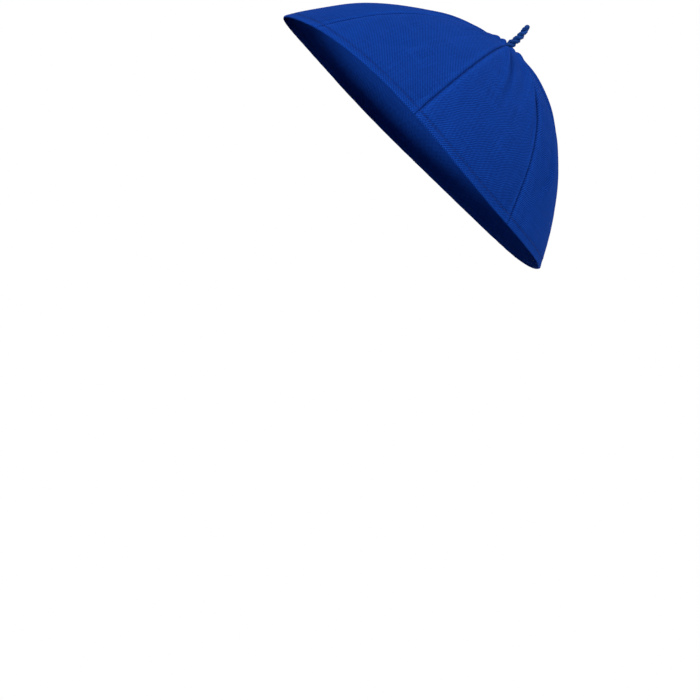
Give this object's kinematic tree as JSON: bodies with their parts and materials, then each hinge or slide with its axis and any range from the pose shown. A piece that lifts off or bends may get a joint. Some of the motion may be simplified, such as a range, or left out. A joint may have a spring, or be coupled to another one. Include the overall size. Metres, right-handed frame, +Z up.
{
  "type": "skull cap",
  "caption": "Soft domed skull cap sewn from tapered cloth panels, with a stitched rim, an inside facing and a short twisted-cord stem at the crown.",
  "frame": {"origin": "middle of the rim's plane, at the foot of the cap", "axes": "+Z up through the crown and the stem, -X towards the forehead, +X towards the back of the head, +Y towards the wearer's right"},
  "size_m": [0.165, 0.165, 0.0738],
  "materials": {
    "cap_cloth": "plain-woven cotton, matt with a slight sheen",
    "facing_cloth": "the same cloth, matt",
    "sewing_thread": "matching polyester thread, satin",
    "stem_cord": "twisted cord, satin"
  },
  "bodies": {
    "cap": {"panel_1": "cap_cloth", "panel_2": "cap_cloth", "panel_3": "cap_cloth", "panel_4": "cap_cloth", "panel_5": "cap_cloth", "panel_6": "cap_cloth", "panel_7": "cap_cloth", "panel_8": "cap_cloth", "seam_thread_1": "sewing_thread", "seam_thread_2": "sewing_thread", "seam_thread_3": "sewing_thread", "seam_thread_4": "sewing_thread", "seam_thread_5": "sewing_thread", "seam_thread_6": "sewing_thread", "seam_thread_7": "sewing_thread", "seam_thread_8": "sewing_thread", "rim_needle_thread": "sewing_thread", "rim_bobbin_thread": "sewing_thread", "rim_facing": "facing_cloth", "facing_join_thread": "sewing_thread", "facing_tacks": "sewing_thread", "stem_tail": "stem_cord", "stem_tail_thread": "sewing_thread"},
    "stem_base": {"stem_knot": "stem_cord"},
    "stem_upper": {"stem_twist": "stem_cord"}
  },
  "joints": [
    {"name": "stem_lean_fore_aft", "type": "hinge", "parent": "cap", "child": "stem_base", "pos_m": [0, 0, 0.0608], "axis": [0, 1, 0], "range_deg": [-45, 45], "stiffness_Nm_per_rad": 0.0001},
    {"name": "stem_lean_sideways", "type": "hinge", "parent": "stem_base", "child": "stem_upper", "pos_m": [0, 0, 0.0608], "axis": [1, 0, 0], "range_deg": [-45, 45], "stiffness_Nm_per_rad": 0.0001}
  ]
}
